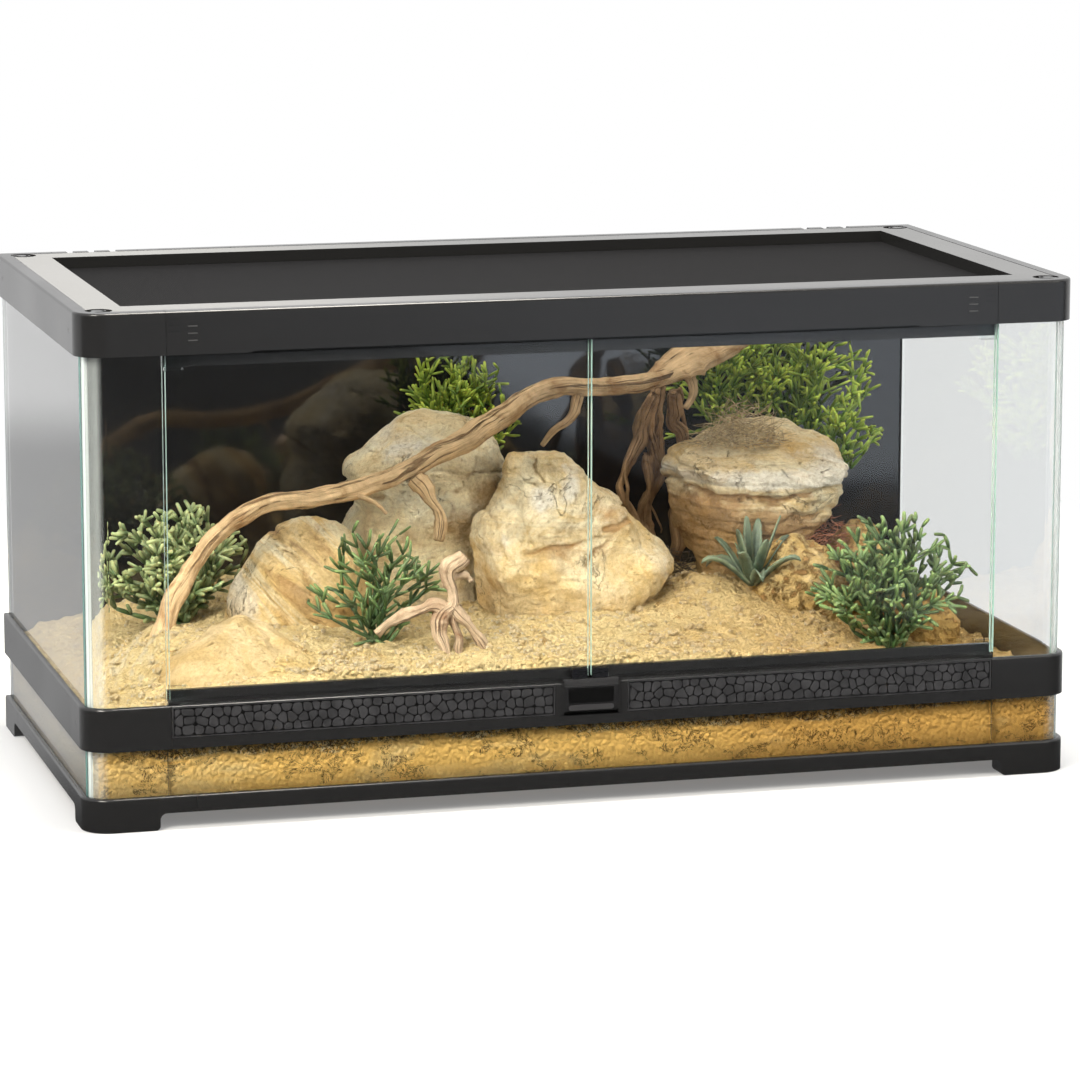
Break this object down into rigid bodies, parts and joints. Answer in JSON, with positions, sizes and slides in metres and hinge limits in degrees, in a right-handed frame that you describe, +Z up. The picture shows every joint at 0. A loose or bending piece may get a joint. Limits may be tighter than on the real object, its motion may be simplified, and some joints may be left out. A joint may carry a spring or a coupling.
{
  "type": "reptile terrarium",
  "caption": "Front-opening glass reptile terrarium with moulded frames, two hinged doors, a latch, a screen lid with turning locks and a planted desert interior.",
  "frame": {"origin": "middle of the footprint, on the floor under the feet", "axes": "+X to the right along the front, +Y towards the back, +Z up; the doors face -Y"},
  "size_m": [0.914, 0.45, 0.456],
  "materials": {
    "frame_plastic": "fine moulded grain, satin",
    "pebble_plastic": "satin",
    "lid_plastic": "satin",
    "pane_glass": "clear float glass with a green edge",
    "panel_plastic": "glossy",
    "silicone": "cured bead",
    "steel": "bright",
    "mesh_cloth": "fine black insect mesh",
    "spline_rubber": "soft",
    "sand": "loose dry sand",
    "stone": "weathered sandstone",
    "driftwood": "dry, weathered",
    "leaf": "waxy leaves",
    "agave_leaf": "waxy leaves",
    "moss": "dry moss"
  },
  "bodies": {
    "tank": {"agave_plant": "agave_leaf", "background_panel": "panel_plastic", "base_corners_front": "frame_plastic", "base_corners_rear": "frame_plastic", "base_rail_front": "frame_plastic", "base_rail_rear": "frame_plastic", "base_rails_side": "frame_plastic", "bottom_glass": "pane_glass", "cable_ports": "frame_plastic", "corner_plugs": "steel", "dome_rock": "stone", "door_header": "frame_plastic", "door_sill": "frame_plastic", "driftwood_branch": "driftwood", "dry_moss": "moss", "front_plants": "leaf", "front_root": "driftwood", "hanging_roots": "driftwood", "latch_housing": "frame_plastic", "latch_pin": "steel", "latch_spring": "steel", "ledge_rock": "stone", "left_glass": "pane_glass", "low_front_glass": "pane_glass", "mid_corners_front": "frame_plastic", "mid_corners_rear": "frame_plastic", "mid_rail_front": "frame_plastic", "mid_rail_rear": "frame_plastic", "mid_rails_side": "frame_plastic", "pebble_panel_left": "pebble_plastic", "pebble_panel_right": "pebble_plastic", "rear_glass": "pane_glass", "rear_plants": "leaf", "right_glass": "pane_glass", "sand_bed": "sand", "silicone_beads": "silicone", "sloping_rock": "stone", "small_rocks": "stone", "striped_rock": "stone", "top_corners_front": "frame_plastic", "top_corners_rear": "frame_plastic", "top_rail_front": "frame_plastic", "top_rail_rear": "frame_plastic", "top_rails_side": "frame_plastic"},
    "door_left": {"door_glass_left": "pane_glass", "door_clips_left": "lid_plastic", "door_catch_left": "steel"},
    "door_right": {"door_glass_right": "pane_glass", "door_clips_right": "lid_plastic", "door_catch_right": "steel"},
    "latch": {"latch_lever": "pebble_plastic"},
    "lid": {"lid_frame": "lid_plastic", "lid_mesh": "mesh_cloth", "mesh_spline": "spline_rubber"},
    "lock_front_left": {"lid_lock_front_left": "lid_plastic"},
    "lock_front_right": {"lid_lock_front_right": "lid_plastic"},
    "lock_rear_left": {"lid_lock_rear_left": "lid_plastic"},
    "lock_rear_right": {"lid_lock_rear_right": "lid_plastic"},
    "gate_left": {"cable_gate_left": "frame_plastic"},
    "gate_right": {"cable_gate_right": "frame_plastic"}
  },
  "joints": [
    {"name": "door_left_hinge", "type": "hinge", "parent": "tank", "child": "door_left", "pos_m": [-0.377, -0.2175, 0.26], "axis": [0, 0, -1], "range_deg": [0, 100]},
    {"name": "door_right_hinge", "type": "hinge", "parent": "tank", "child": "door_right", "pos_m": [0.377, -0.2175, 0.26], "axis": [0, 0, 1], "range_deg": [0, 100]},
    {"name": "latch_pull", "type": "hinge", "parent": "tank", "child": "latch", "pos_m": [0, -0.2206, 0.0852], "axis": [1, 0, 0], "range_deg": [0, 30], "stiffness_Nm_per_rad": 0.05, "springref_deg": -17.19},
    {"name": "lid_lift", "type": "slide", "parent": "tank", "child": "lid", "axis": [0, 0, 1], "range_m": [0, 0.06]},
    {"name": "lock_turn_front_left", "type": "hinge", "parent": "lid", "child": "lock_front_left", "pos_m": [-0.434, -0.202, 0.451], "axis": [0, 0, 1], "range_deg": [0, 90]},
    {"name": "lock_turn_front_right", "type": "hinge", "parent": "lid", "child": "lock_front_right", "pos_m": [0.434, -0.202, 0.451], "axis": [0, 0, -1], "range_deg": [0, 90]},
    {"name": "lock_turn_rear_left", "type": "hinge", "parent": "lid", "child": "lock_rear_left", "pos_m": [-0.434, 0.202, 0.451], "axis": [0, 0, 1], "range_deg": [0, 90]},
    {"name": "lock_turn_rear_right", "type": "hinge", "parent": "lid", "child": "lock_rear_right", "pos_m": [0.434, 0.202, 0.451], "axis": [0, 0, -1], "range_deg": [0, 90]},
    {"name": "gate_slide_left", "type": "slide", "parent": "tank", "child": "gate_left", "axis": [1, 0, 0], "range_m": [0, 0.01025]},
    {"name": "gate_slide_right", "type": "slide", "parent": "tank", "child": "gate_right", "axis": [-1, 0, 0], "range_m": [0, 0.01025]}
  ]
}
